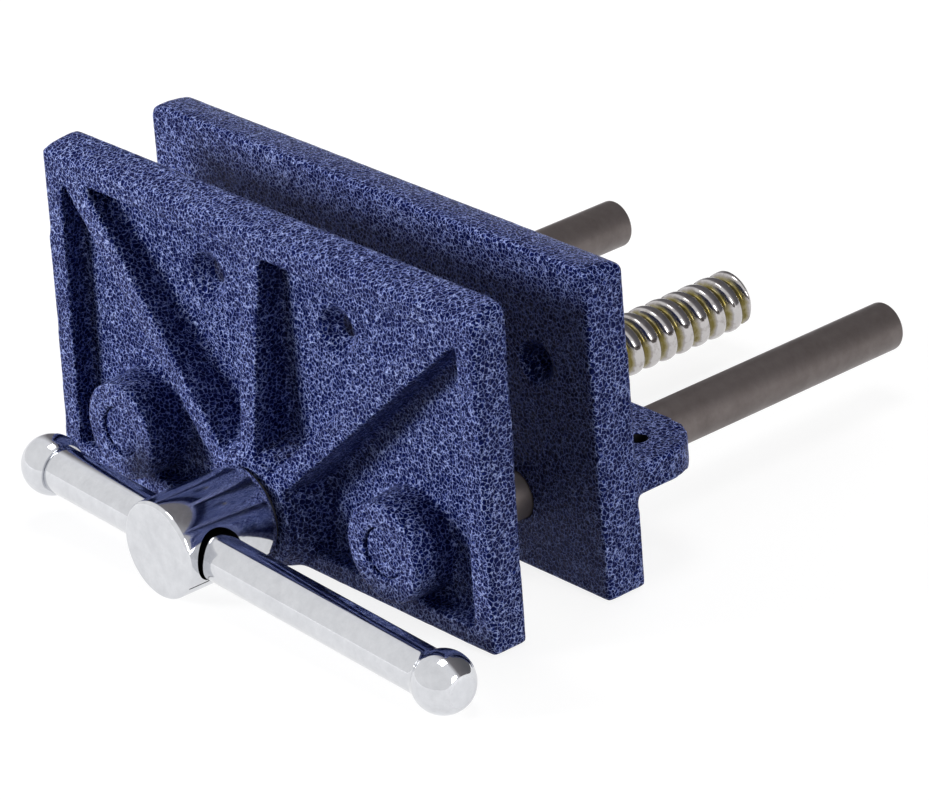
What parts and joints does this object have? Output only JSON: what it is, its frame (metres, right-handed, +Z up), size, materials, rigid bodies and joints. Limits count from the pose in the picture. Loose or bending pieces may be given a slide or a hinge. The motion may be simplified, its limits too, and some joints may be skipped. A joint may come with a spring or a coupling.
{
  "type": "woodworker's bench vise",
  "caption": "Light woodworker's vise: ribbed cast front jaw on twin guide rods, coarse lead screw with sliding bar handle, and a plain rear jaw with lugs for the bench.",
  "frame": {"origin": "on the rear jaw's back face, midway along the jaws, in the plane of the lug tops: where the lower front edge of the bench sits", "axes": "+X along the jaws to the right as seen from the handle side, +Y from the front jaw into the bench along the screw, +Z up"},
  "size_m": [0.1827, 0.1953, 0.0867],
  "materials": {
    "hammered_paint": "blue hammered enamel over rough iron castings, with lighter veins",
    "rod_steel": "satin ground steel, slightly browned",
    "plated_steel": "bright zinc plating with a faint yellow tint",
    "chrome": "polished chrome plating",
    "black_steel": "dull blackened steel",
    "nut_iron": "machined grey iron"
  },
  "bodies": {
    "rear_jaw": {"rear_jaw": "hammered_paint", "screw_nut": "nut_iron", "nut_pin": "black_steel"},
    "front_jaw": {"front_jaw": "hammered_paint", "guide_rod_left": "rod_steel", "guide_rod_right": "rod_steel", "rod_pin_left": "black_steel", "rod_pin_right": "black_steel", "front_washer": "black_steel", "rear_washer": "black_steel"},
    "screw": {"lead_screw": "plated_steel", "screw_head": "chrome", "head_pin": "black_steel", "retaining_collar": "plated_steel", "collar_pin": "black_steel"},
    "handle": {"handle_bar": "chrome", "handle_ball": "chrome"}
  },
  "joints": [
    {"name": "jaw_slide", "type": "slide", "parent": "rear_jaw", "child": "front_jaw", "axis": [0, -1, 0], "range_m": [-0.0235, 0.091]},
    {"name": "screw_turn", "type": "hinge", "parent": "front_jaw", "child": "screw", "pos_m": [0, -0.07255, -0.0176], "axis": [0, -1, 0], "range_deg": [-1485, 5748]},
    {"name": "handle_slide", "type": "slide", "parent": "screw", "child": "handle", "axis": [0.9985, 0, -0.0545], "range_m": [-0.0755, 0.0357]}
  ],
  "couplings": [
    {"joint": "screw_turn", "follows": "jaw_slide", "rad_per_m": 1102.3}
  ]
}
